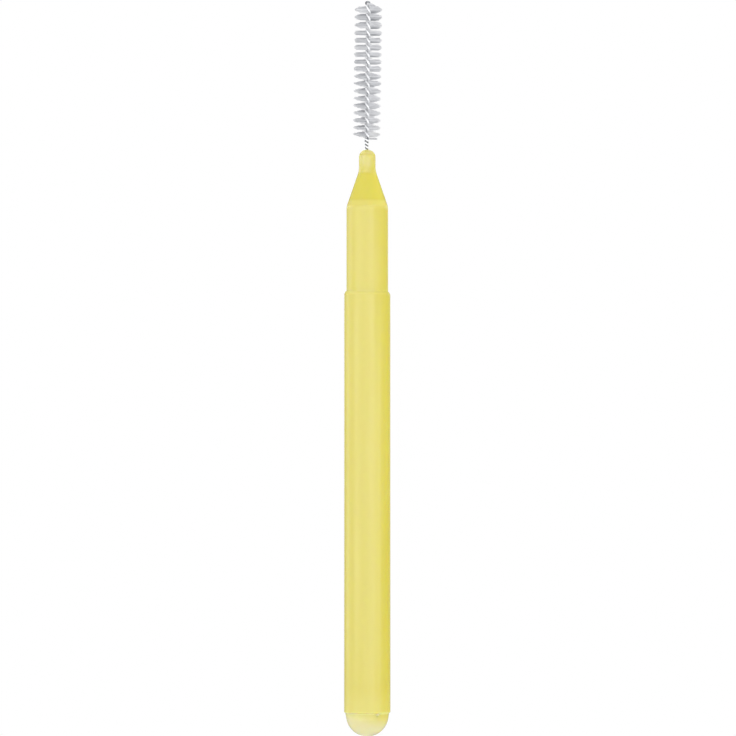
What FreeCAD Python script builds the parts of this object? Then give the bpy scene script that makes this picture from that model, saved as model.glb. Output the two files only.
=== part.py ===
# Interdental brush with a sliding sleeve, in millimetres.
#
# A bristle head wound into a twisted steel wire stands on a slim plastic core. A thin sleeve runs on the core.
# With the sleeve back, as modelled, it is the grip and the bristles are free. Pushed forward, it covers them.
# +Z runs along the object towards the bristles, +X is to the right as the brush is seen from the front (-Y),
# and the origin is on the sleeve's axis, halfway along the sleeve.
import FreeCAD, Part
import math
import os

from FreeCAD import Placement, Rotation, Vector

# Sleeve
sleeve_length = 45.84
sleeve_diameter = 5.04
sleeve_wall = 0.21
mouth_bevel_length = 0.32
mouth_bevel_depth = 0.17
rear_bevel = 0.1

# Bead inside the sleeve's rear end, which stops against the core's two shoulders
bead_height = 0.15
bead_length = 0.8
bead_crest_length = 0.3
bead_setback = 0.8

# Core: a domed tail that flares to a collar, a thinner shaft, a barrel, a cone and a neck
slide_clearance = 0.035
tail_reach = 2.59
tail_flare_degrees = 10.5
collar_gap = 0.03
tail_shoulder_gap = 0.06
shoulder_lead_length = 0.15
barrel_reveal = 9.2
cone_length = 3.94
neck_length = 2.32
neck_diameter = 1.81
barrel_blend_radius = 2.0
neck_blend_radius = 3.0
neck_tip_round_share = 0.94

# Travel of the sleeve
tip_cover = 0.9
stop_gap = 0.1

# Small nub on the tail, just behind the collar's edge
nub_angle_degrees = -61.0
nub_diameter = 0.4
nub_height = 0.07
nub_bevel = 0.06
nub_setback = 0.03

# Wire, folded double and twisted left-handed
wire_diameter = 0.22
wire_sides = 7
bare_strand_gap = 0.006
bare_pitch = 0.75
bare_length = 1.26
spread_setback = 0.3
spread_length = 0.4
twist_change_overlap = 0.07
twist_change_length = 0.3
twist_start_length = 0.3
hidden_twist_length = 0.1
leg_length = 3.8
loop_rise = 0.3
wire_bore_clearance = 0.01
wire_end_gap = 0.05
stem_offset = 0.08
stem_lean_degrees = 0.8

# Bristles, nipped between the two strands
row_count = 18
row_pitch = 0.797
filament_diameter = 0.08
filament_sides = 4
filament_lay_gap = 0.008
nip_clearance = 0.01
bristle_reach = 1.45
stray_setback = 0.1
stray_stub = 0.35

# Sizes that follow from the ones above
sleeve_radius = sleeve_diameter / 2
bore_radius = sleeve_radius - sleeve_wall
bead_radius = bore_radius - bead_height
core_radius = bore_radius - slide_clearance
shaft_radius = bead_radius - slide_clearance
neck_radius = neck_diameter / 2
neck_tip_radius = neck_radius * neck_tip_round_share
wire_radius = wire_diameter / 2
filament_radius = filament_diameter / 2
bare_radius = wire_radius + bare_strand_gap / 2
spread_radius = wire_radius + filament_radius + nip_clearance
wire_bore_radius = bare_radius + wire_radius + wire_bore_clearance
filaments_per_row = int(row_pitch / (filament_diameter + filament_lay_gap))

# Places along the core, measured up from the middle of the sleeve
front_rim = sleeve_length / 2
rear_rim = -sleeve_length / 2
bead_rear = rear_rim + bead_setback
bead_front = bead_rear + bead_length
dome_end = rear_rim - tail_reach
tail_front = bead_rear - tail_shoulder_gap
collar_top = rear_rim - collar_gap
cone_base = front_rim + barrel_reveal
neck_base = cone_base + cone_length
neck_end = neck_base + neck_length

# Places along the stem, measured up from the neck's end
bristle_start = bare_length
bristle_end = bristle_start + row_count * row_pitch
loop_centre = bristle_end + loop_rise
stem_tip = loop_centre + spread_radius + wire_radius
spread_end = bristle_start - spread_setback
spread_start = spread_end - spread_length
twist_change_end = bristle_start + twist_change_overlap
twist_change_start = twist_change_end - twist_change_length
twist_start = -hidden_twist_length - twist_start_length
leg_end = twist_start - leg_length

# The sleeve goes forward until its mouth has passed the wire's tip
travel = neck_end + stem_tip + tip_cover - front_rim
barrel_rear = bead_front + travel + stop_gap

# The stem leans a little
stem_place = Placement(
    Vector(-stem_offset, 0, neck_end),
    Rotation(Vector(0, 1, 0), stem_lean_degrees),
)

# A pair of arcs follows at most this much of a turn
arc_pair_degrees = 120.0


def blended(corners):
    """Edges of an outline in the XZ plane, from (x, z, blend radius) corners. Each blend is a tangent arc."""
    edges = []
    start = Vector(corners[0][0], 0, corners[0][1])
    for before, here, after in zip(corners, corners[1:], corners[2:]):
        corner = Vector(here[0], 0, here[1])
        blend = here[2]
        if blend == 0:
            edges.append(Part.LineSegment(start, corner).toShape())
            start = corner
            continue
        back = (Vector(before[0], 0, before[1]) - corner).normalize()
        ahead = (Vector(after[0], 0, after[1]) - corner).normalize()
        half_angle = back.getAngle(ahead) / 2
        run = blend / math.tan(half_angle)
        middle = (back + ahead).normalize() * (blend / math.sin(half_angle) - blend)
        edges.append(Part.LineSegment(start, corner + back * run).toShape())
        edges.append(Part.Arc(corner + back * run, corner + middle, corner + ahead * run).toShape())
        start = corner + ahead * run
    edges.append(Part.LineSegment(start, Vector(corners[-1][0], 0, corners[-1][1])).toShape())
    return edges


def turned(edges):
    """The solid that an outline in the XZ plane makes when it is turned about the Z axis."""
    face = Part.Face(Part.Wire(edges))
    return face.revolve(Vector(0, 0, 0), Vector(0, 0, 1), 360)


def make_sleeve():
    """Thin tube with bevelled ends and a sloped bead inside its rear end."""
    slope_length = (bead_length - bead_crest_length) / 2
    return turned(blended([
        (bore_radius, bead_front, 0),
        (bead_radius, bead_front - slope_length, 0),
        (bead_radius, bead_rear + slope_length, 0),
        (bore_radius, bead_rear, 0),
        (bore_radius, rear_rim, 0),
        (sleeve_radius - rear_bevel, rear_rim, 0),
        (sleeve_radius, rear_rim + rear_bevel, 0),
        (sleeve_radius, front_rim - mouth_bevel_length, 0),
        (sleeve_radius - mouth_bevel_depth, front_rim, 0),
        (bore_radius, front_rim, 0),
        (bore_radius, bead_front, 0),
    ]))


def make_core():
    """One-piece moulding with a domed tail, a shaft, a barrel, a cone and a neck that holds the wire."""
    # The dome is as wide as the sleeve's bore, and its flare leaves it as a tangent
    flare = math.radians(tail_flare_degrees)
    dome_centre = Vector(0, 0, dome_end + bore_radius)

    def dome_point(angle):
        return dome_centre + Vector(math.cos(angle), 0, -math.sin(angle)) * bore_radius

    flare_foot = dome_point(flare)
    dome = Part.Arc(Vector(0, 0, dome_end), dome_point((flare + math.pi / 2) / 2), flare_foot).toShape()
    collar_radius = flare_foot.x + (collar_top - flare_foot.z) * math.tan(flare)
    side = blended([
        (flare_foot.x, flare_foot.z, 0),
        (collar_radius, collar_top, 0),
        (core_radius, collar_top, 0),
        (core_radius, tail_front, 0),
        (shaft_radius, tail_front, 0),
        (shaft_radius, barrel_rear, 0),
        (core_radius, barrel_rear + shoulder_lead_length, 0),
        (core_radius, cone_base, barrel_blend_radius),
        (neck_radius, neck_base, neck_blend_radius),
        (neck_radius, neck_end, neck_tip_radius),
        (0, neck_end, 0),
    ])
    axis = Part.LineSegment(Vector(0, 0, neck_end), Vector(0, 0, dome_end)).toShape()
    core = turned([dome] + side + [axis])

    angle = math.radians(nub_angle_degrees)
    outward = Vector(math.cos(angle), math.sin(angle), 0)
    foot = outward * shaft_radius + Vector(0, 0, collar_top - nub_setback - nub_diameter / 2)
    nub = Part.makeCylinder(nub_diameter / 2, collar_radius + nub_height - shaft_radius, foot, outward)
    crown = [edge for edge in nub.Edges if edge.Closed and edge.CenterOfMass.dot(outward) > collar_radius]
    core = core.fuse(nub.makeChamfer(nub_bevel, crown))

    bore_depth = wire_end_gap - leg_end
    bore = Part.makeCylinder(wire_bore_radius, bore_depth + wire_diameter, Vector(0, 0, -bore_depth))
    bore.Placement = stem_place
    return core.cut(bore).removeSplitter()


def twist_rates():
    """Heights on the stem, each with the turn in radians per millimetre that the strands have there."""
    bare_rate = 2 * math.pi / bare_pitch
    brush_rate = math.pi / row_pitch
    return [
        (twist_start, 0),
        (-hidden_twist_length, bare_rate),
        (twist_change_start, bare_rate),
        (twist_change_end, brush_rate),
        (bristle_end, brush_rate),
        (loop_centre, 0),
    ]


def turned_by(height):
    """Turn of the strands, in radians, between the first row's middle and a height on the stem."""
    def from_start(top):
        total = 0
        rates = twist_rates()
        for (low, low_rate), (high, high_rate) in zip(rates, rates[1:]):
            if top <= low:
                break
            reach = min(top, high)
            reach_rate = low_rate + (high_rate - low_rate) * (reach - low) / (high - low)
            total += (low_rate + reach_rate) / 2 * (reach - low)
        return total
    return from_start(height) - from_start(bristle_start + row_pitch / 2)


def strand_offset(height):
    """Distance of each strand's centre line from the stem's axis."""
    if height <= spread_start:
        return bare_radius
    if height >= spread_end:
        return spread_radius
    share = (height - spread_start) / (spread_end - spread_start)
    return bare_radius + (spread_radius - bare_radius) * share * share * (3 - 2 * share)


def strand_point(height, side):
    """Point of a strand's centre line. The twist is left-handed, so its angle falls as the height grows."""
    angle = math.pi / 2 - turned_by(height)
    reach = side * strand_offset(height)
    return Vector(reach * math.cos(angle), reach * math.sin(angle), height)


def strand_direction(height, side):
    """Direction of a strand's centre line, upwards."""
    step = wire_radius / 1000
    ahead = strand_point(height + step, side)
    behind = strand_point(height - step, side)
    return (ahead - behind).normalize()


def strand_heights():
    """Heights of the stations on a strand, close enough for one pair of arcs between each two."""
    heights = [twist_start]
    levels = [height for height, rate in twist_rates()]
    for low, high in zip(levels, levels[1:]):
        turn = math.degrees(turned_by(high) - turned_by(low))
        pairs = max(1, math.ceil(turn / arc_pair_degrees))
        heights += [low + (high - low) * (i + 1) / pairs for i in range(pairs)]
    return heights


def arc_through(start, corner, end):
    """Arc from start to end that is tangent to the two lines from the corner, which are equally long."""
    chord_middle = (start + end) / 2
    rise = (corner - chord_middle).Length
    half_chord = (end - start).Length / 2
    if rise < half_chord / 10000:
        return Part.LineSegment(start, end).toShape()
    half_turn = math.atan2(rise, half_chord)
    sagitta = half_chord * math.tan(half_turn / 2)
    middle = chord_middle + (corner - chord_middle).normalize() * sagitta
    return Part.Arc(start, middle, end).toShape()


def arc_pair(start, start_direction, end, end_direction):
    """Two tangent arcs that leave one station and reach the next in the given directions."""
    chord = end - start
    both = start_direction + end_direction
    a = 2 * (1 - start_direction.dot(end_direction))
    b = 2 * chord.dot(both)
    c = -chord.dot(chord)
    reach = 2 * -c / (b + math.sqrt(b * b - 4 * a * c))
    start_corner = start + start_direction * reach
    end_corner = end - end_direction * reach
    joint = (start_corner + end_corner) / 2
    return [arc_through(start, start_corner, joint), arc_through(joint, end_corner, end)]


def make_wire():
    """One wire folded at the tip: up one strand, round the loop and down the other strand into the neck."""
    heights = strand_heights()
    up = [(strand_point(z, 1), strand_direction(z, 1)) for z in heights]
    down = [(strand_point(z, -1), strand_direction(z, -1) * -1) for z in reversed(heights)]
    # The legs below the twist and the two strands at the loop run straight along the stem
    for stations, index in ((up, 0), (up, -1)):
        stations[index] = (stations[index][0], Vector(0, 0, 1))
    for stations, index in ((down, 0), (down, -1)):
        stations[index] = (stations[index][0], Vector(0, 0, -1))

    leg = Vector(0, 0, leg_length)
    foot = up[0][0] - leg
    edges = [Part.LineSegment(foot, up[0][0]).toShape()]
    for (start, start_direction), (end, end_direction) in zip(up, up[1:]):
        edges += arc_pair(start, start_direction, end, end_direction)
    crest = Vector(0, 0, loop_centre + spread_radius)
    edges.append(Part.Arc(up[-1][0], crest, down[0][0]).toShape())
    for (start, start_direction), (end, end_direction) in zip(down, down[1:]):
        edges += arc_pair(start, start_direction, end, end_direction)
    edges.append(Part.LineSegment(down[-1][0], down[-1][0] - leg).toShape())

    corners = []
    for i in range(wire_sides + 1):
        angle = 2 * math.pi * i / wire_sides
        corners.append(foot + Vector(wire_radius * math.cos(angle), wire_radius * math.sin(angle), 0))
    path = Part.Wire(edges)
    wire = path.makePipeShell([Part.makePolygon(corners)], True, False)
    section = wire_sides / 2 * wire_radius * wire_radius * math.sin(2 * math.pi / wire_sides)
    print("wire: volume", wire.Volume, "section times length", section * path.Length)
    tightest = min(edge.Curve.Radius for edge in edges if isinstance(edge.Curve, Part.Circle))
    print("wire: tightest arc", tightest, "wire radius", wire_radius)
    wire.Placement = stem_place
    return wire


def make_filament(height, ahead, behind):
    """One straight filament through the middle of the stem at a height, square to the line of the strands."""
    angle = -turned_by(height)
    outward = Vector(math.cos(angle), math.sin(angle), 0)
    across = Vector(-math.sin(angle), math.cos(angle), 0)
    foot = Vector(0, 0, height) - outward * behind
    corners = []
    for i in range(filament_sides + 1):
        turn = 2 * math.pi * i / filament_sides
        side = across * (filament_radius * math.cos(turn))
        corners.append(foot + side + Vector(0, 0, filament_radius * math.sin(turn)))
    filament = Part.Face(Part.makePolygon(corners)).extrude(outward * (ahead + behind))
    filament.Placement = stem_place
    return filament


def make_row(index):
    """The filaments of half a turn of the stem, which fan out evenly on both sides."""
    middle = bristle_start + row_pitch * (index + 0.5)
    spacing = row_pitch / filaments_per_row
    heights = [middle + spacing * (i - (filaments_per_row - 1) / 2) for i in range(filaments_per_row)]
    return Part.makeCompound([make_filament(z, bristle_reach, bristle_reach) for z in heights])


nodes = {
    "sleeve": make_sleeve(),
    "handle_core": make_core(),
    "twisted_wire": make_wire(),
}
for i in range(row_count):
    nodes[f"bristle_row_{i + 1:02d}"] = make_row(i)
nodes["stray_bristle"] = make_filament(bristle_start - stray_setback, stray_stub, bristle_reach)

os.makedirs("parts", exist_ok=True)
for name, shape in nodes.items():
    shape.exportStep(f"parts/{name}.step")
    print(name, len(shape.Solids), shape.isValid(), shape.Volume)
print("travel", travel, "tip", neck_end + stem_tip, "bottom", dome_end)
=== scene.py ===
"""Interdental brush with a sliding sleeve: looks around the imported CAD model.

Lengths are in millimetres until they reach a mesh or a material, which take metres.
Lamps and camera are placed in metres.
"""
import math
import random

import bpy
from mathutils import Matrix, Vector


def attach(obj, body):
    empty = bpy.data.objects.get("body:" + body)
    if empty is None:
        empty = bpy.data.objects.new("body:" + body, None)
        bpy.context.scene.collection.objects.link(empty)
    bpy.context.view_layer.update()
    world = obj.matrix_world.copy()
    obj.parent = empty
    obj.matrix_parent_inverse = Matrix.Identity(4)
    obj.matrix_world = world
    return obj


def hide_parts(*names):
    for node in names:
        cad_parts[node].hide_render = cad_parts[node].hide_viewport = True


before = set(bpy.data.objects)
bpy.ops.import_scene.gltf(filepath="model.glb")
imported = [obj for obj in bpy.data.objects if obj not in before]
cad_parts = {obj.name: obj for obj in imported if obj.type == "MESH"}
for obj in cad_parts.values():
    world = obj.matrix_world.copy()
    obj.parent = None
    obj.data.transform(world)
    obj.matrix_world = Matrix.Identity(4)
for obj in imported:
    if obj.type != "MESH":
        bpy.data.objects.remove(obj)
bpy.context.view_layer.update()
MM = 0.001

# Sizes, as in the CAD source
FRONT, REAR = 22.92, -22.92
SLEEVE_R, BORE_R, BEAD_R = 2.52, 2.31, 2.16
CORE_R, SHAFT_R, NECK_R = 2.275, 2.125, 0.905
DOME_END = REAR - 2.59
FLARE = math.radians(10.5)
COLLAR_TOP = REAR - 0.03
TRAVEL = 32.536
BEAD_REAR, BEAD_FRONT = REAR + 0.8, REAR + 1.6
BARREL_REAR = BEAD_FRONT + TRAVEL + 0.1
CONE_BASE = FRONT + 9.2
NECK_BASE = CONE_BASE + 3.94
NECK_END = NECK_BASE + 2.32
WIRE_R, BARE_R, SPREAD_R = 0.11, 0.113, 0.16
ROWS, ROW = 18, 0.797

# Heights on the stem, above the neck's end. The stem stands a little to the left there and leans to the right
START = 1.26
END = START + ROWS * ROW
LOOP = END + 0.3
STEM_SHIFT, STEM_LEAN = -0.08, math.radians(0.8)
STEM = Matrix.Translation((STEM_SHIFT, 0, NECK_END)) @ Matrix.Rotation(STEM_LEAN, 4, "Y")


def clamp(value, low=0, high=1):
    return min(high, max(low, value))


def eased(share):
    """Takes a share from 0 to 1 to the same range, with soft ends."""
    return share * share * (3 - 2 * share)


# Mesh helpers
def mesh_object(name, verts, faces, body, material):
    mesh = bpy.data.meshes.new(name)
    mesh.from_pydata([Vector(v) * MM for v in verts], [], faces)
    mesh.validate()
    for p in mesh.polygons:
        p.use_smooth = True
    mesh.update()
    obj = bpy.data.objects.new(name, mesh)
    bpy.context.scene.collection.objects.link(obj)
    mesh.materials.append(material)
    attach(obj, body)
    return obj


def store_shades(obj, shades):
    """Stores a painted shade from 0 to 1 at each point, for the material."""
    obj.data.attributes.new("shade", "FLOAT", "POINT").data.foreach_set("value", shades)


def rounded(corners, steps):
    """Outline points from (r, z, blend) corners, each blend as a tangent arc of that radius."""
    out = [corners[0][:2]]
    for a, b, c in zip(corners, corners[1:], corners[2:]):
        if not b[2]:
            out.append(b[:2])
            continue
        p = Vector(b[:2])
        u = (Vector(a[:2]) - p).normalized()
        v = (Vector(c[:2]) - p).normalized()
        half = u.angle(v) / 2
        run = b[2] / math.tan(half)
        centre = p + (u + v).normalized() * (b[2] / math.sin(half))
        s, e = p + u * run - centre, p + v * run - centre
        a0 = math.atan2(s.y, s.x)
        turn = (math.atan2(e.y, e.x) - a0 + math.pi) % (2 * math.pi) - math.pi
        for i in range(steps + 1):
            w = a0 + turn * i / steps
            out.append((centre.x + b[2] * math.cos(w), centre.y + b[2] * math.sin(w)))
    out.append(corners[-1][:2])
    return out


def lathe(name, outline, body, material, sides, closed=False):
    """Turns an outline of (r, z) points about Z. Points at r = 0 become a pole."""
    verts, faces, rings = [], [], []
    bearings = [2 * math.pi * i / sides for i in range(sides)]
    for r, z in outline:
        if r < 1e-9:
            rings.append([len(verts)])
            verts.append((0, 0, z))
        else:
            rings.append(list(range(len(verts), len(verts) + sides)))
            verts += [(r * math.cos(w), r * math.sin(w), z) for w in bearings]
    pairs = list(zip(rings, rings[1:])) + ([(rings[-1], rings[0])] if closed else [])
    for a, b in pairs:
        for i in range(sides):
            j = (i + 1) % sides
            if len(a) == 1 and len(b) > 1:
                faces.append((a[0], b[j], b[i]))
            elif len(b) == 1 and len(a) > 1:
                faces.append((a[i], a[j], b[0]))
            elif len(a) > 1:
                faces.append((a[i], a[j], b[j], b[i]))
    return mesh_object(name, verts, faces, body, material)


def side_faces(rings, sides):
    """Faces between rings of points that follow each other."""
    faces = []
    for i in range(rings - 1):
        low, high = i * sides, (i + 1) * sides
        for k in range(sides):
            m = (k + 1) % sides
            faces.append((low + k, low + m, high + m, high + k))
    return faces


def sweep(points, radii, sides):
    """Tube mesh round a line of points, each with its radius, without twist and closed at both ends."""
    n = len(points)
    tangents = [(points[min(i + 1, n - 1)] - points[max(i - 1, 0)]).normalized() for i in range(n)]
    side = tangents[0].orthogonal().normalized()
    verts = []
    for i in range(n):
        if i:
            side = tangents[i - 1].rotation_difference(tangents[i]) @ side
            side = (side - tangents[i] * side.dot(tangents[i])).normalized()
        other = tangents[i].cross(side)
        r = radii[i]
        for k in range(sides):
            w = 2 * math.pi * k / sides
            verts.append(points[i] + side * (r * math.cos(w)) + other * (r * math.sin(w)))
    faces = side_faces(n, sides)
    faces.append(tuple(reversed(range(sides))))
    faces.append(tuple(range((n - 1) * sides, n * sides)))
    return verts, faces


# Node helpers
def new_material(name):
    m = bpy.data.materials.new(name)
    m.use_nodes = True
    nodes, links = m.node_tree.nodes, m.node_tree.links
    return m, nodes, links, nodes["Principled BSDF"]


def math_node(nodes, links, operation, first, second=None):
    """Each of first and second is a number or a socket."""
    node = nodes.new("ShaderNodeMath")
    node.operation = operation
    for place, value in enumerate((first, second)):
        if isinstance(value, (int, float)):
            node.inputs[place].default_value = value
        elif value is not None:
            links.new(value, node.inputs[place])
    return node.outputs[0]


def map_range(nodes, links, value, source=(0.0, 1.0), target=(0.0, 1.0), curve="LINEAR"):
    node = nodes.new("ShaderNodeMapRange")
    node.interpolation_type = curve
    node.inputs["From Min"].default_value, node.inputs["From Max"].default_value = source
    node.inputs["To Min"].default_value, node.inputs["To Max"].default_value = target
    links.new(value, node.inputs["Value"])
    return node.outputs["Result"]


def noise(nodes, links, vector, scale, detail):
    node = nodes.new("ShaderNodeTexNoise")
    node.inputs["Scale"].default_value = scale
    node.inputs["Detail"].default_value = detail
    links.new(vector, node.inputs["Vector"])
    return node.outputs["Fac"]


def two_tones(nodes, links, value, colors, places=(0.0, 1.0)):
    ramp = nodes.new("ShaderNodeValToRGB")
    for stop, place, color in zip(ramp.color_ramp.elements, places, colors):
        stop.position = place
        stop.color = (*color, 1)
    links.new(value, ramp.inputs["Fac"])
    return ramp.outputs["Color"]


def mixed(nodes, links, factor, first, second):
    """Mix of two colours by a factor. second is a colour or a socket."""
    mix = nodes.new("ShaderNodeMix")
    mix.data_type = "RGBA"
    links.new(factor, mix.inputs["Factor"])
    links.new(first, mix.inputs["A"])
    if isinstance(second, tuple):
        mix.inputs["B"].default_value = (*second, 1)
    else:
        links.new(second, mix.inputs["B"])
    return mix.outputs["Result"]


def shaded(nodes, links, tone, dark):
    """Takes a tone to a dark colour by the painted shade that the mesh has at each point."""
    shade = nodes.new("ShaderNodeAttribute")
    shade.attribute_name = "shade"
    return mixed(nodes, links, shade.outputs["Fac"], tone, dark)


def height_share(nodes, links, place, low, high, share=1.0, slant=0.0):
    """From 0 at the first height to a share at the second. A slant raises both heights towards -X, by that
    much for each millimetre."""
    height = nodes.new("ShaderNodeVectorMath")
    height.operation = "DOT_PRODUCT"
    links.new(place, height.inputs[0])
    height.inputs[1].default_value = (slant, 0, 1)
    return map_range(nodes, links, height.outputs["Value"], (low * MM, high * MM), (0.0, share), "SMOOTHSTEP")


# Materials
FLOW_STRETCH = (700, 700, 60)       # of the flow marks, across and along
FLOW_PLACES = (0.3, 0.7)
GRAIN_SCALE, GRAIN_STRENGTH, GRAIN_DEPTH = 5200, 0.05, 0.00001
PLASTIC_INDEX = 1.57
GLOW = (1.0, 0.8, 0.2)              # how far red, green and blue light go inside the plastic, of its depth
SLEEVE_ROUGH, CORE_ROUGH = 0.16, 0.20
SLEEVE_DEPTH, CORE_DEPTH = 0.0001, 0.0005


def plastic(name, colors, roughness, depth, along):
    """Soft yellow plastic that lets a little light in, down to a depth in metres. colors is a dark and a
    pale one, between which flow marks wander. Each entry of along is (color, from, to), which may go on with
    a share and a slant: the tone goes over to that colour between two heights, by that share, and stays so
    beyond the second. These entries paint light and shade along the length."""
    m, nodes, links, bsdf = new_material(name)
    coord = nodes.new("ShaderNodeTexCoord")
    place = coord.outputs["Object"]
    stretch = nodes.new("ShaderNodeMapping")
    stretch.inputs["Scale"].default_value = FLOW_STRETCH
    links.new(place, stretch.inputs["Vector"])
    flow = noise(nodes, links, stretch.outputs["Vector"], 1.0, 3.0)
    tone = two_tones(nodes, links, flow, colors, FLOW_PLACES)
    for color, *reach in along:
        tone = mixed(nodes, links, height_share(nodes, links, place, *reach), tone, color)
    links.new(tone, bsdf.inputs["Base Color"])

    bump = nodes.new("ShaderNodeBump")
    bump.inputs["Strength"].default_value = GRAIN_STRENGTH
    bump.inputs["Distance"].default_value = GRAIN_DEPTH
    links.new(noise(nodes, links, place, GRAIN_SCALE, 2.0), bump.inputs["Height"])
    links.new(bump.outputs["Normal"], bsdf.inputs["Normal"])
    bsdf.inputs["Roughness"].default_value = roughness
    bsdf.inputs["Subsurface Weight"].default_value = 1.0
    bsdf.inputs["Subsurface Radius"].default_value = GLOW
    bsdf.inputs["Subsurface Scale"].default_value = depth
    bsdf.inputs["IOR"].default_value = PLASTIC_INDEX
    return m


YELLOW = ((0.695, 0.613, 0.086), (0.715, 0.633, 0.106))
# Lighter yellows for the nub, painted light that lifts the shade on its lower side
NUB_YELLOW_PAINTED_LIGHT = ((0.755, 0.685, 0.16), (0.775, 0.705, 0.18))
MIDDLE = (0.705, 0.623, 0.104)
# Painted light: the sleeve grows lighter towards its rear, in place of a reflection that fades there, and so
# does the tail below the collar
REAR_PAINTED_LIGHT = (0.735, 0.665, 0.14)
MOUTH_PAINTED_LIGHT = (0.83, 0.76, 0.20)           # painted light beside the sleeve's mouth, on the sleeve and on the rod above it, that lifts the shadow line there
# Painted light at the sleeve's rear rim and on the collar, which lifts the shadow line in the gap between
# them
COLLAR_PAINTED_LIGHT = (0.95, 0.875, 0.28)
# Painted highlight on the nub's upper side
NUB_PAINTED_HIGHLIGHT = (0.97, 0.88, 0.34)
# Painted light in a band at the cone's base, where the shadow line was too strong
CONE_BASE_PAINTED_LIGHT = (0.80, 0.72, 0.20)
# Painted light over the cone, which mirrors a dark part of the tent, and painted shade where it meets the
# neck
CONE_PAINTED_LIGHT = (0.760, 0.685, 0.118)
CONE_END_PAINTED_SHADE = (0.69, 0.62, 0.095)
# Painted shade at the neck's foot, and painted light that makes the neck paler above it
NECK_FOOT_PAINTED_SHADE = (0.68, 0.615, 0.098)
NECK_PAINTED_LIGHT = (0.70, 0.635, 0.165)
# Painted reflection of the pale floor: the dome grows paler towards its bottom, from higher up on its left
# side
DOME_PAINTED_REFLECTION = (0.815, 0.775, 0.435)
DOME_REFLECTION_SLANT = 0.22

# The sleeve's tones along its length are painted light, at the mouth, towards the rear and at the rear rim
sleeve_plastic = plastic("sleeve_plastic", YELLOW, SLEEVE_ROUGH, SLEEVE_DEPTH, (
    (MOUTH_PAINTED_LIGHT, FRONT - 0.40, FRONT - 0.25, 0.3),
    (REAR_PAINTED_LIGHT, REAR + 3.0, REAR + 0.2, 0.8),
    (COLLAR_PAINTED_LIGHT, REAR + 0.14, REAR + 0.04)))
core_plastic = plastic("core_plastic", YELLOW, CORE_ROUGH, CORE_DEPTH, (
    # Painted light and shade, from the cone's base down to the dome
    (MIDDLE, CONE_BASE + 1.0, CONE_BASE + 0.3),
    (CONE_BASE_PAINTED_LIGHT, CONE_BASE + 1.05, CONE_BASE + 0.5),
    (MIDDLE, CONE_BASE + 0.35, CONE_BASE - 0.05),
    (MOUTH_PAINTED_LIGHT, FRONT + 0.3, FRONT + 0.02, 0.3),
    (MIDDLE, FRONT, FRONT - 0.3),
    (COLLAR_PAINTED_LIGHT, REAR + 0.1, REAR - 0.02),
    (REAR_PAINTED_LIGHT, REAR - 0.04, REAR - 0.22),
    (DOME_PAINTED_REFLECTION, REAR + 0.3, DOME_END + 0.9, 1.0, DOME_REFLECTION_SLANT),
    # Painted light and shade, from the cone up to the neck
    (CONE_PAINTED_LIGHT, CONE_BASE + 0.6, CONE_BASE + 1.1),
    (CONE_END_PAINTED_SHADE, NECK_BASE - 0.40, NECK_BASE - 0.12),
    (NECK_FOOT_PAINTED_SHADE, NECK_BASE - 0.12, NECK_BASE + 0.15),
    (NECK_PAINTED_LIGHT, NECK_BASE + 0.15, NECK_BASE + 0.9)))
# The nub has a painted highlight on its upper side, and lighter yellows, painted light that lifts the shade
# below it
nub_plastic = plastic("nub_plastic", NUB_YELLOW_PAINTED_LIGHT, CORE_ROUGH, CORE_DEPTH, (
    (NUB_PAINTED_HIGHLIGHT, COLLAR_TOP - 0.30, COLLAR_TOP - 0.14),))

STEEL = ((0.91, 0.92, 0.94), (0.96, 0.97, 0.98))
FOLD_STEEL = (0.30, 0.31, 0.33)
# Painted shade in the grooves between the strands and on their left side
GROOVE_PAINTED_SHADE = (0.11, 0.11, 0.12)
FOLD_LENGTH = 0.30
STEEL_GRAIN, STEEL_ROUGH, STEEL_METALLIC = 9000, (0.48, 0.60), 0.3
NYLON = ((0.87, 0.88, 0.905), (0.95, 0.952, 0.965))
# Colour of the painted shade on the filaments: where they turn away, near the root and at the nip, and on
# some at random
NYLON_PAINTED_SHADE = (0.34, 0.35, 0.38)
NYLON_GRAIN, NYLON_ROUGH, NYLON_CLEAR, NYLON_INDEX = 7000, 0.35, 0.1, 1.53


def steel():
    """Drawn steel. The fold at the tip is darker, and painted shade darkens the grooves between the strands
    and their left side.
    """
    m, nodes, links, bsdf = new_material("drawn_steel")
    coord = nodes.new("ShaderNodeTexCoord")
    grain = noise(nodes, links, coord.outputs["Object"], STEEL_GRAIN, 3.0)
    tone = two_tones(nodes, links, grain, STEEL)
    split = nodes.new("ShaderNodeSeparateXYZ")
    links.new(coord.outputs["Object"], split.inputs[0])
    top = NECK_END + LOOP
    fold = map_range(nodes, links, split.outputs["Z"], ((top - FOLD_LENGTH) * MM, top * MM))
    tone = mixed(nodes, links, fold, tone, FOLD_STEEL)
    links.new(shaded(nodes, links, tone, GROOVE_PAINTED_SHADE), bsdf.inputs["Base Color"])
    links.new(map_range(nodes, links, grain, target=STEEL_ROUGH), bsdf.inputs["Roughness"])
    bsdf.inputs["Metallic"].default_value = STEEL_METALLIC
    return m


def nylon():
    """Nylon filaments that let a little light pass, darker by the painted shade stored on the mesh."""
    m, nodes, links, bsdf = new_material("clear_nylon")
    coord = nodes.new("ShaderNodeTexCoord")
    grain = noise(nodes, links, coord.outputs["Object"], NYLON_GRAIN, 2.0)
    tone = two_tones(nodes, links, grain, NYLON)
    links.new(shaded(nodes, links, tone, NYLON_PAINTED_SHADE), bsdf.inputs["Base Color"])
    bsdf.inputs["Roughness"].default_value = NYLON_ROUGH
    bsdf.inputs["Transmission Weight"].default_value = NYLON_CLEAR
    bsdf.inputs["IOR"].default_value = NYLON_INDEX
    return m


steel_mat = steel()
nylon_mat = nylon()

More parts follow.
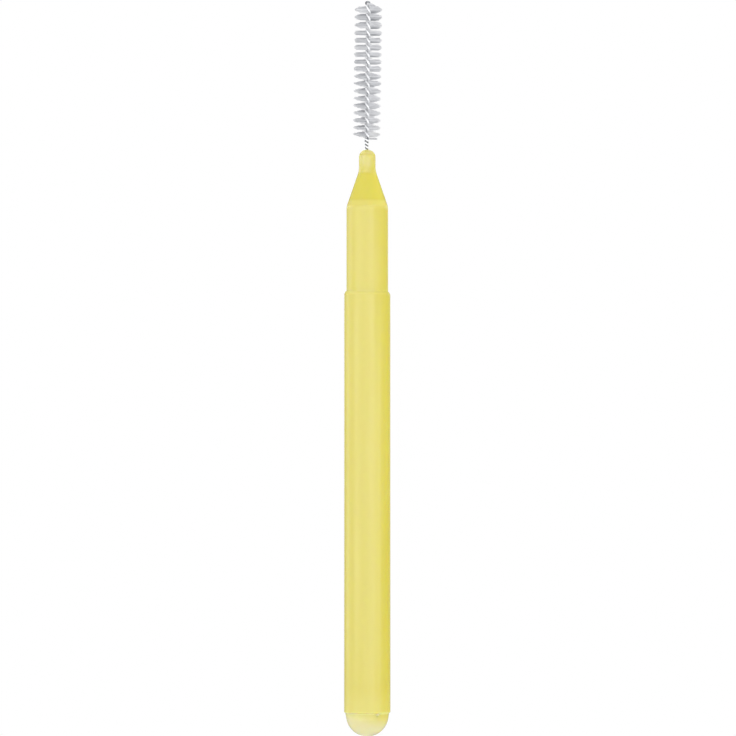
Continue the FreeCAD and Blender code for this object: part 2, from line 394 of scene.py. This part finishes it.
# Sleeve
BEAD_SLOPE = 0.25
RIM_DEPTH, RIM_LENGTH = 0.05, 0.06
MOUTH_DEPTH, MOUTH_LENGTH = 0.17, 0.32
MOUTH_SLANT, SLANT_LENGTH = math.tan(math.radians(1.3)), 1.2
SLEEVE_SIDES, SLEEVE_STEPS = 160, 5


def build_sleeve():
    """Thin tube with softened rims and a bead inside its rear end."""
    outline = rounded([
        (BORE_R, 0, 0),
        (BORE_R, BEAD_FRONT, 0.3),
        (BEAD_R, BEAD_FRONT - BEAD_SLOPE, 0.2),
        (BEAD_R, BEAD_REAR + BEAD_SLOPE, 0.2),
        (BORE_R, BEAD_REAR, 0.3),
        (BORE_R, REAR, 0.02),
        (SLEEVE_R - RIM_DEPTH, REAR, 0.02),
        (SLEEVE_R, REAR + RIM_LENGTH, 0.04),
        (SLEEVE_R, FRONT - MOUTH_LENGTH, 0.08),
        (SLEEVE_R - MOUTH_DEPTH, FRONT, 0.015),
        (BORE_R, FRONT, 0.015),
        (BORE_R, 0, 0),
    ], SLEEVE_STEPS)
    # The last point is the first one again, so it is left out
    sleeve = lathe("sleeve_tube", outline[:-1], "sleeve", sleeve_plastic, SLEEVE_SIDES, closed=True)
    # The mouth isn't quite square: its left side stands a little higher
    for v in sleeve.data.vertices:
        v.co.z -= v.co.x * MOUTH_SLANT * clamp(v.co.z / MM - FRONT + SLANT_LENGTH)
    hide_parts("sleeve")


# Core: dome, collar, shaft, barrel, cone, neck
CORE_SIDES, CORE_STEPS, DOME_STEPS, TIP_STEPS = 144, 8, 24, 16
DOME_CENTRE = DOME_END + BORE_R
DOME_TURN = math.pi / 2 - FLARE
FLARE_R, FLARE_Z = BORE_R * math.sin(DOME_TURN), DOME_CENTRE - BORE_R * math.cos(DOME_TURN)
COLLAR_R = FLARE_R + (COLLAR_TOP - FLARE_Z) * math.tan(FLARE)
COLLAR_RISE = 0.024                 # leaves a gap of 0.006 to the sleeve's rear rim
TAIL_GAP = 0.06
LEAD = 0.15
TIP_R = NECK_R * 0.94
TIP_CENTRE = NECK_END - TIP_R
TIP_SHIFT = 0.1
HOLE_EDGE_R, HOLE_LIP_R, HOLE_R, HOLE_DEPTH = 0.26, 0.243, 0.235, 0.8


def tip_outline():
    """The neck's rounded end, in to the edge of the hole for the wire, and the hole."""
    end = math.acos((HOLE_EDGE_R - NECK_R + TIP_R) / TIP_R)
    turns = [end * i / TIP_STEPS for i in range(TIP_STEPS + 1)]
    tip = [(NECK_R - TIP_R + TIP_R * math.cos(w), TIP_CENTRE + TIP_R * math.sin(w)) for w in turns]
    lip = tip[-1][1]
    bottom = lip - HOLE_DEPTH
    return tip + [(HOLE_LIP_R, lip - 0.02), (HOLE_R, lip - 0.06), (HOLE_R, bottom), (0, bottom)]


def build_core():
    """One moulding from the domed tail to the neck."""
    outline = [(0, DOME_END)]
    for i in range(1, DOME_STEPS + 1):
        w = DOME_TURN * i / DOME_STEPS
        outline.append((BORE_R * math.sin(w), DOME_CENTRE - BORE_R * math.cos(w)))
    outline += rounded([
        (FLARE_R, FLARE_Z + 0.01, 0),
        (COLLAR_R, COLLAR_TOP + COLLAR_RISE, 0.012),
        (CORE_R, COLLAR_TOP + COLLAR_RISE, 0),
        (CORE_R, BEAD_REAR - TAIL_GAP, 0.04),
        (SHAFT_R, BEAD_REAR - TAIL_GAP, 0.03),
        (SHAFT_R, BARREL_REAR, 0.05),
        (CORE_R, BARREL_REAR + LEAD, 0.05),
        (CORE_R, CONE_BASE, 2.0),
        (NECK_R, NECK_BASE, 3.0),
        (NECK_R, TIP_CENTRE - 0.01, 0),
    ], CORE_STEPS)
    core = lathe("core_body", outline + tip_outline(), "core", core_plastic, CORE_SIDES)
    # The rounded end stands a little to the left, round the wire
    for v in core.data.vertices:
        if v.co.z > TIP_CENTRE * MM:
            v.co.x -= TIP_SHIFT * MM * (1 - math.hypot(v.co.x, v.co.y) / (NECK_R * MM))
    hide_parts("handle_core")


# Nub on the tail
NUB_BEARING = math.radians(-61)
NUB_DROP = 0.23                     # of its middle, below the collar's edge
NUB_R = 0.34
NUB_FOOT, NUB_HALF_RISE = -0.03, 0.027
NUB_TOP_GAP = 0.01
NUB_RINGS, NUB_SIDES = 10, 28


def build_nub():
    """Low rounded nub, square to the flare and cut off just below the collar's edge."""
    out = Vector((math.cos(NUB_BEARING), math.sin(NUB_BEARING), 0))
    out = out * math.cos(FLARE) - Vector((0, 0, math.sin(FLARE)))
    turn = Vector((0, 0, 1)).rotation_difference(out).to_matrix()
    foot_r = COLLAR_R - NUB_DROP * math.tan(FLARE)
    foot = Vector((foot_r * math.cos(NUB_BEARING), foot_r * math.sin(NUB_BEARING), COLLAR_TOP - NUB_DROP))
    verts = []
    for i in range(NUB_RINGS + 1):
        share = 1 - i / NUB_RINGS
        r, h = NUB_R * share, NUB_FOOT + NUB_HALF_RISE * (1 + math.cos(math.pi * share))
        for k in range(NUB_SIDES):
            w = 2 * math.pi * k / NUB_SIDES
            point = foot + turn @ Vector((r * math.cos(w), r * math.sin(w), h))
            point.z = min(point.z, COLLAR_TOP - NUB_TOP_GAP)
            verts.append(point)
    nub = mesh_object("tail_nub", verts, side_faces(NUB_RINGS + 1, NUB_SIDES), "core", nub_plastic)


# Wire. RATES gives heights on the stem, each with the turn for each millimetre that the strands have there
BARE_RATE, ROW_RATE = 2 * math.pi / 0.75, math.pi / ROW
RATES = [(-0.4, 0.0), (-0.1, BARE_RATE), (START - 0.23, BARE_RATE), (START + 0.07, ROW_RATE),
         (END - 0.3, ROW_RATE), (LOOP, 0.0)]
# How far each row stands from an even pitch, from the lowest row up
DRIFT = [0, -0.12, -0.08, -0.1, -0.09, -0.1, -0.09, -0.05, -0.1,
         -0.05, -0.09, -0.1, -0.12, -0.14, -0.15, -0.08, -0.01, 0]
TIP_WIDER, TIP_LEAN = 0.03, -0.09
WIRE_FOOT, FOOT_LENGTH, FOOT_STEPS = -0.75, 0.35, 4
WIRE_STEP, LOOP_STEPS, WIRE_SIDES = 0.028, 20, 14


def drift(height):
    """How far the rows stand from an even pitch at a height, between the values of DRIFT."""
    place = clamp((height - START) / ROW - 0.5, 0.0, ROWS - 1.0)
    row = min(ROWS - 2, int(place))
    return DRIFT[row] + (DRIFT[row + 1] - DRIFT[row]) * (place - row)


def turn_at(height):
    """Turn of the strands from the wire's foot up to a height."""
    height = height - drift(height)
    total = 0.0
    for (low, r0), (high, r1) in zip(RATES, RATES[1:]):
        if height <= low:
            break
        top = min(height, high)
        total += (r0 + (r0 + (r1 - r0) * (top - low) / (high - low))) / 2 * (top - low)
    return total


ZERO = turn_at(START + ROW / 2)


def gap_at(height):
    """Bearing of the gap between the strands."""
    return -(turn_at(height) - ZERO)


def strand_radius(height):
    """Distance of a strand's middle from the stem's axis."""
    spread = eased(clamp((height - START + 0.7) / 0.4))
    wider = clamp((height - END + 0.2) / 0.5)
    return BARE_R + (SPREAD_R - BARE_R) * spread + TIP_WIDER * wider


def lean(height):
    """The folded tip stands a little to one side."""
    s = clamp((height - END) / (LOOP - END))
    return TIP_LEAN * s * s


def strand_point(height, side):
    """Middle of a strand at a height. side is 1 for one strand and -1 for the other."""
    w = math.pi / 2 + gap_at(height)
    r = side * strand_radius(height)
    return Vector((r * math.cos(w) + lean(height), r * math.sin(w), height))


def wire_painted_shade(point):
    """Painted shade, 0 to 1: dark in the grooves of the bare stem, softer among the filaments, and more on
    the left side there. Near the tip only the left side is dark."""
    if point.z > END + 0.1:
        return 0.95 * clamp((-0.14 - point.x) / 0.12)
    among = clamp((point.z - START) / 0.2)
    margin = 0.096 - 0.016 * among
    depth = clamp((strand_radius(point.z) + margin - math.hypot(point.x, point.y)) / 0.06)
    left = clamp((0.06 - point.x) / 0.16)
    return min(1, depth * (1 - 0.92 * among) + left * (0.10 + 0.17 * among))


def build_wire():
    """One wire: up one strand, round the loop at the tip and down the other strand."""
    heights = [WIRE_FOOT + FOOT_LENGTH * i / FOOT_STEPS for i in range(FOOT_STEPS + 1)]
    while heights[-1] < LOOP:
        heights.append(min(LOOP, heights[-1] + WIRE_STEP))
    up = [strand_point(h, 1) for h in heights]
    down = [strand_point(h, -1) for h in reversed(heights)]
    centre = Vector((lean(LOOP), 0, LOOP))
    loop = []
    for i in range(1, LOOP_STEPS):
        w = math.pi * i / LOOP_STEPS
        loop.append(centre + (up[-1] - centre) * math.cos(w) + Vector((0, 0, SPREAD_R * math.sin(w))))
    line = up + loop + down
    verts, faces = sweep(line, [WIRE_R] * len(line), WIRE_SIDES)
    wire = mesh_object("wire_strands", [STEM @ v for v in verts], faces, "core", steel_mat)
    store_shades(wire, [wire_painted_shade(v) for v in verts])
    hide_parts("twisted_wire")


# Filaments
REACH = 1.49
NIP_END, NIP_BEND = 0.08, 0.30      # a filament leaves the gap's direction at the first, over the second
HALF_STEPS, FILAMENT_SIDES = 9, 6
THICK, THIN, FAN_THICK, STRAY_THICK = 0.033, 0.024, 0.03, 0.064
END_SHARE = 0.75                    # of a filament's radius, at its two ends


def half_filament(height, start, end, length, lift):
    """Points from the stem's middle outwards: out of the gap at one bearing, then bending to another."""
    point = Vector((0, 0, height))
    points = [point.copy()]
    for i in range(HALF_STEPS):
        s = (i + 0.5) / HALF_STEPS * length
        bearing = start + (end - start) * eased(clamp((s - NIP_END) / NIP_BEND))
        point = point + Vector((math.cos(bearing), math.sin(bearing), 0)) * (length / HALF_STEPS)
        points.append(point + Vector((0, 0, lift * ((i + 1) / HALF_STEPS) ** 2)))
    return points


def filament(height, bends, lengths, lifts, radius):
    """Points and radii of one filament, nipped at the given height. Each pair is for its end ahead and its
    end behind. The bends turn these ends away from the gap."""
    gap = gap_at(height)
    ahead = half_filament(height, gap, gap + bends[0], lengths[0], lifts[0])
    behind = half_filament(height, gap + math.pi, gap + math.pi + bends[1], lengths[1], lifts[1])
    points = list(reversed(behind))[:-1] + ahead
    radii = [radius] * len(points)
    radii[0] = radii[-1] = radius * END_SHARE
    return points, radii


# What each cause adds to the painted shade of a filament, and the share of a half that counts as nipped
PLAIN_SHADE, ROOT_SHADE, TURNED_SHADE, TIP_SHADE, NIP_SHADE = 0.17, 0.10, 0.85, 0.14, 0.3
NIPPED = 0.15


def point_shade(end, far, upper, extra):
    """Painted shade at a share, far, of the way out to an end. upper is 0 for the lowest row and 1 for the
    highest.
    A half that turns away from the front has more, on the right mostly in the upper rows and on the left in
    the lower ones. The plain shade fades towards the root, most where the half comes to the front."""
    away = clamp(end.y / (0.5 * REACH))
    front = clamp(-end.y / (0.5 * REACH))
    left = 1 - 0.55 * clamp(end.x / REACH, -1)
    right = end.x > 0
    nipped = far < NIPPED
    side = 0.15 + 0.85 * upper if right else 1 - 0.3 * upper
    root = max(0, 1 - far / 0.7) * (0.4 if nipped else 1)
    tip = max(0, far - 0.45) / 0.55 * (1 - upper if right else 1)
    plain = PLAIN_SHADE * (0.2 + 0.8 * upper if right else 1) * (1 - max(front, 0.8) * max(0, 1 - far / 0.4))
    turned = TURNED_SHADE * max(side, 0.25) * away * away * (1 - 0.5 * far)
    spread = extra * (0.5 + 0.5 * upper if right else 1) + (NIP_SHADE if extra and nipped else 0)
    return min(1, plain + ROOT_SHADE * left * root * side + turned + spread + TIP_SHADE * tip)


def shading(points, extra):
    """Painted shade at each point of a filament."""
    middle = len(points) // 2
    upper = clamp((points[middle].z - START) / (END - START))
    out = []
    for i in range(len(points)):
        end = points[0] if i < middle else points[-1]
        out.append(point_shade(end, abs(i - middle) / middle, upper, extra))
    return out


def tuft(name, node, lines):
    """One piece from filaments, each given as (points, radii, extra shade)."""
    verts, faces, shades = [], [], []
    for points, radii, extra in lines:
        v, f = sweep(points, radii, FILAMENT_SIDES)
        base = len(verts)
        verts += [STEM @ p for p in v]
        faces += [tuple(k + base for k in face) for face in f]
        for shade in shading(points, extra):
            shades += [shade] * FILAMENT_SIDES
    piece = mesh_object(name, verts, faces, "core", nylon_mat)
    store_shades(piece, shades)
    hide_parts(node)


# Rows, counted from the lowest. In the blunt rows the filaments gather into a flat bundle, elsewhere they
# stay fanned. HALF is the share of the row's height that they fill, and GATHER the share of their turn that
# they bend back
BLUNT = range(9, 15)
BLUNT_COUNT, BLUNT_HALF, BLUNT_GATHER, BLUNT_OTHER = 15, (0.64, 0.72), (0.60, 0.72), (0.42, 0.55)
FAN_COUNT, FAN_HALF, FAN_GATHER, UPPER_GATHER = 21, (0.93, 0.98), (0.08, 0.22), 0.2
EDGE_SHARES = (-0.97, -0.88, -0.8, 0.8, 0.88, 0.97)
# Ranges of the random draws: degrees that an end wanders, shares of REACH, lifts and extra shade
WANDER, LENGTHS, LIFTS, DARKER = (-5, 5), (0.97, 1.02), (-0.04, 0.04), (0.15, 0.5)
EDGE_WANDER, EDGE_LENGTHS = (-8, 8), (0.93, 1.0)
SHARE_JITTER, DARKER_CHANCE = 0.025, 0.3
# The last filaments under the tip, and which of them are darker
LAST_COUNT, LAST_DARKER = 9, (0, 3, 8)
rng = random.Random(7)


def draw_two(low, high):
    return rng.uniform(low, high), rng.uniform(low, high)


def row_lines(row, middle):
    """The main filaments of one row, which gather by one amount at each end."""
    if row in BLUNT:
        half, gather, other = rng.uniform(*BLUNT_HALF), rng.uniform(*BLUNT_GATHER), rng.uniform(*BLUNT_OTHER)
        count = BLUNT_COUNT
    else:
        half = rng.uniform(*FAN_HALF)
        gather, other = draw_two(*FAN_GATHER)
        count = FAN_COUNT
        if row > BLUNT[-1]:
            gather += UPPER_GATHER
            other += UPPER_GATHER
    if row % 2 == 0:
        gather, other = other, gather
    lines = []
    for i in range(count):
        share = ((i + 0.5) / count * 2 - 1) * half + rng.uniform(-SHARE_JITTER, SHARE_JITTER)
        turned = -share * math.pi / 2
        wander = draw_two(*WANDER)
        bends = -turned * gather + math.radians(wander[0]), -turned * other + math.radians(wander[1])
        lengths = [REACH * length for length in draw_two(*LENGTHS)]
        points, radii = filament(middle + share * ROW / 2, bends, lengths, draw_two(*LIFTS), THICK)
        lines.append((points, radii, rng.uniform(*DARKER) if rng.random() < DARKER_CHANCE else 0))
    return lines


def edge_lines(middle):
    """Thin filaments above and below a flat bundle."""
    lines = []
    for share in EDGE_SHARES:
        bends = [math.radians(bend) for bend in draw_two(*EDGE_WANDER)]
        lengths = [REACH * length for length in draw_two(*EDGE_LENGTHS)]
        points, radii = filament(middle + share * ROW / 2, bends, lengths, draw_two(*LIFTS), THIN)
        lines.append((points, radii, 0))
    return lines


def fan_lines():
    """Last filaments under the folded tip: they fan out on one side, the upper ones shorter."""
    lines = []
    for i in range(LAST_COUNT):
        height = END - 0.12 + 0.055 * i
        bend = -math.radians(rng.uniform(5, 25)) - (gap_at(height) % math.pi - math.pi)
        lengths = 0.3, REACH * (1.02 - 0.05 * i)
        points, radii = filament(height, (0, bend), lengths, (0, -0.17 - 0.006 * i), FAN_THICK)
        lines.append((points, radii, rng.uniform(0.2, 0.7) if i in LAST_DARKER else 0.1))
    return lines


def build_bristles():
    for row in range(ROWS):
        middle = START + ROW * (row + 0.5) + DRIFT[row]
        lines = row_lines(row, middle)
        if row in BLUNT:
            lines += edge_lines(middle)
        if row == ROWS - 1:
            lines += fan_lines()
        tuft(f"filaments_{row + 1:02d}", f"bristle_row_{row + 1:02d}", lines)
    points, radii = filament(START - 0.11, (0, 0.22), (0.35, REACH), (0, -0.02), STRAY_THICK)
    tuft("filament_stray", "stray_bristle", [(points, radii, 1.7)])


build_sleeve()
build_core()
build_nub()
build_wire()
build_bristles()

# Floor, light and camera
SHINE = 3.75                        # level of the tent that gloss sees, over plain white
SOFT_LIGHT = 0.91                   # level of the light all round
FLOOR_HALF = 400
FLOOR_GLOW, FLOOR_SHARE = 1.16, 0.7
# Grey levels of the tent by turn, in degrees, for upright surfaces and for the slopes that WIDE_SHARES picks
LEVELS = [(-180, 0.3), (180, 0.3), (-155, 0.2), (-140, 0.1), (-122, 0.43), (-106, 0.6), (-78, 0.5),
          (-70, 0.8), (-58, 0.86), (-54, 1.0), (-48, 1.0), (-44, 0.86), (2, 0.84), (12, 0.96), (30, 0.98),
          (35, 0.8), (40, 0.38), (56, 0.32), (69, 0.38), (80, 0.27), (92, 0.14), (120, 0.05), (150, 0.1)]
WIDE_LEVELS = [(-180, 0.3), (180, 0.3), (-150, 0.3), (-120, 0.6), (-84, 0.64), (-40, 0.86), (20, 0.92),
               (59, 0.42), (100, 0.36), (125, 0.3)]
# By the slope of the mirroring surface, in degrees: the share of WIDE_LEVELS, and the grey that dims both
WIDE_SHARES = [(-90, 0), (90, 1), (3, 0), (7, 1), (22, 1), (25, 0), (31, 0), (35, 1)]
SLOPE_LEVELS = [(-90, 0.35), (90, 0.9), (-45, 0.22), (-30, 0.18), (-12, 0.4), (-4, 1), (13, 1), (16.5, 0.1),
                (22, 0.1), (25.5, 0.8), (31, 0.8)]


def any_ray(nodes, links):
    """1 for camera, glossy and transmission rays, else 0."""
    rays = nodes.new("ShaderNodeLightPath")
    first = math_node(nodes, links, "MAXIMUM", rays.outputs["Is Camera Ray"], rays.outputs["Is Glossy Ray"])
    return math_node(nodes, links, "MAXIMUM", first, rays.outputs["Is Transmission Ray"])


def greys(nodes, links, value, reach, stops):
    """Grey by a value that runs from -reach to reach. The first two stops are the ends."""
    tones = nodes.new("ShaderNodeValToRGB")
    elements = tones.color_ramp.elements
    for i, (at, grey) in enumerate(stops):
        place = (at + reach) / (2 * reach)
        stop = elements[i] if i < 2 else elements.new(place)
        stop.position = place
        stop.color = (grey, grey, grey, 1)
    links.new(map_range(nodes, links, value, (-reach, reach)), tones.inputs["Fac"])
    return tones.outputs["Color"]


def by_sine(stops):
    return [(math.sin(math.radians(degrees)), grey) for degrees, grey in stops]


def tent(nodes, links, direction):
    """Grey level, 0 to 1, that gloss sees in a direction: a bright tent, open behind the object and on the
    right. It is laid out by the slope of the surface that shows this direction to the front. turn is twice
    that surface's bearing and rise is its upward share."""
    def calc(operation, first, second=None):
        return math_node(nodes, links, operation, first, second)

    split = nodes.new("ShaderNodeSeparateXYZ")
    links.new(direction, split.inputs[0])
    ahead = calc("SUBTRACT", 1.0, split.outputs["Y"])
    turn = calc("MULTIPLY", calc("ARCTAN2", split.outputs["X"], ahead), math.degrees(2))
    rise = calc("DIVIDE", split.outputs["Z"], calc("SQRT", calc("MULTIPLY", ahead, 2.0)))
    level = greys(nodes, links, turn, 180, LEVELS)
    wide = greys(nodes, links, turn, 180, WIDE_LEVELS)
    share = greys(nodes, links, rise, 1, by_sine(WIDE_SHARES))
    slope_level = greys(nodes, links, rise, 1, by_sine(SLOPE_LEVELS))
    return calc("MULTIPLY", mixed(nodes, links, share, level, wide), slope_level)


def floor_material():
    """To the camera the floor is mostly plain white light, in gloss it goes on with the tent, as seen from
    the dome, and the rest of it keeps a soft shadow."""
    material, nodes, links, bsdf = new_material("floor_pale")
    bsdf.inputs["Base Color"].default_value = (0.9, 0.9, 0.9, 1)
    bsdf.inputs["Roughness"].default_value = 0.9
    place = nodes.new("ShaderNodeTexCoord")
    offset = nodes.new("ShaderNodeVectorMath")
    offset.operation = "SUBTRACT"
    links.new(place.outputs["Object"], offset.inputs[0])
    offset.inputs[1].default_value = (0, 0, DOME_CENTRE * MM)
    aim = nodes.new("ShaderNodeVectorMath")
    aim.operation = "NORMALIZE"
    links.new(offset.outputs[0], aim.inputs[0])
    shine = math_node(nodes, links, "MULTIPLY", tent(nodes, links, aim.outputs[0]), SHINE)

    rays = nodes.new("ShaderNodeLightPath")
    level = nodes.new("ShaderNodeMix")
    level.inputs["A"].default_value = FLOOR_GLOW
    links.new(shine, level.inputs["B"])
    links.new(rays.outputs["Is Glossy Ray"], level.inputs["Factor"])
    glow = nodes.new("ShaderNodeEmission")
    links.new(level.outputs["Result"], glow.inputs["Strength"])
    cover = nodes.new("ShaderNodeMixShader")
    links.new(math_node(nodes, links, "MULTIPLY", any_ray(nodes, links), FLOOR_SHARE), cover.inputs["Fac"])
    links.new(bsdf.outputs["BSDF"], cover.inputs[1])
    links.new(glow.outputs["Emission"], cover.inputs[2])
    links.new(cover.outputs["Shader"], nodes["Material Output"].inputs["Surface"])
    return material


def build_floor():
    """The floor is below the core's lowest place, with the sleeve pushed forward."""
    low = DOME_END - TRAVEL - 0.1
    corners = [(x * FLOOR_HALF, y * FLOOR_HALF, low) for x, y in ((-1, -1), (1, -1), (1, 1), (-1, 1))]
    mesh = bpy.data.meshes.new("floor")
    mesh.from_pydata([Vector(corner) * MM for corner in corners], [], [(0, 1, 2, 3)])
    floor = bpy.data.objects.new("floor", mesh)
    bpy.context.scene.collection.objects.link(floor)
    mesh.materials.append(floor_material())


def build_world():
    """Soft light all round, plain white to the camera, and the tent in gloss."""
    world = bpy.data.worlds.new("studio")
    bpy.context.scene.world = world
    world.use_nodes = True
    nodes, links = world.node_tree.nodes, world.node_tree.links
    background = nodes["Background"]
    where = nodes.new("ShaderNodeTexCoord")
    glossy = nodes.new("ShaderNodeLightPath").outputs["Is Glossy Ray"]
    plain = map_range(nodes, links, any_ray(nodes, links), target=(SOFT_LIGHT, 1.0))
    color = mixed(nodes, links, glossy, plain, tent(nodes, links, where.outputs["Generated"]))
    links.new(color, background.inputs["Color"])
    links.new(map_range(nodes, links, glossy, target=(1.0, SHINE)), background.inputs["Strength"])


# Name, place, size in metres and watts of the lamps that gloss doesn't see
LAMPS = [("key_left", (-0.56, -0.20, 0.06), (0.2, 0.4), 0.5),
         ("fill_front", (0.10, -0.59, 0.14), (0.14, 0.4), 0.25),
         ("side_right", (0.5, 0.05, 0.06), (0.3, 0.3), 0.42)]
LAMP_AIM = (0, 0, 0.014)
PANEL_AT = 0.30
PANEL_TURN = math.radians(52)
PANEL_SIZE = (2 * PANEL_AT * math.tan(math.radians(16)), 0.085)
PANEL_TOP = FRONT * MM + 0.009
PANEL_LEVEL = 1.5


def softbox(name, place, size, watts, aim):
    """Area lamp that the camera doesn't see."""
    light = bpy.data.lights.new(name, "AREA")
    light.shape = "RECTANGLE"
    light.size, light.size_y = size
    light.energy = watts
    obj = bpy.data.objects.new(name, light)
    bpy.context.scene.collection.objects.link(obj)
    obj.location = place
    obj.rotation_euler = (Vector(aim) - Vector(place)).to_track_quat("-Z", "Y").to_euler()
    obj.visible_camera = False
    return obj


def build_lamps():
    """Three weak lamps, and a panel at the right that gloss sees. The panel reaches 9 mm above the sleeve's
    mouth, so that the sleeve and the start of the rod mirror it, but not the cone."""
    for name, place, size, watts in LAMPS:
        softbox(name, place, size, watts, LAMP_AIM).visible_glossy = False
    height = PANEL_TOP - PANEL_SIZE[1] / 2
    middle = (PANEL_AT * math.sin(PANEL_TURN), -PANEL_AT * math.cos(PANEL_TURN), height)
    watts = PANEL_LEVEL * math.pi * PANEL_SIZE[0] * PANEL_SIZE[1]
    softbox("panel_right", middle, PANEL_SIZE, watts, (0, 0, height))


CAMERA_AT = (0.000077, -1.0, 0.014592)
VIEW_WIDTH = 0.08011
SENSOR = 36


def build_camera():
    """Camera in front that sees VIEW_WIDTH across at the object's axis."""
    data = bpy.data.cameras.new("camera")
    camera = bpy.data.objects.new("camera", data)
    bpy.context.scene.collection.objects.link(camera)
    data.sensor_width = SENSOR
    data.lens = SENSOR * -CAMERA_AT[1] / VIEW_WIDTH
    data.clip_start = 0.01
    camera.location = CAMERA_AT
    camera.rotation_euler = (math.pi / 2, 0, 0)
    bpy.context.scene.camera = camera
    bpy.context.scene.view_settings.view_transform = "Standard"


build_floor()
build_world()
build_lamps()
build_camera()
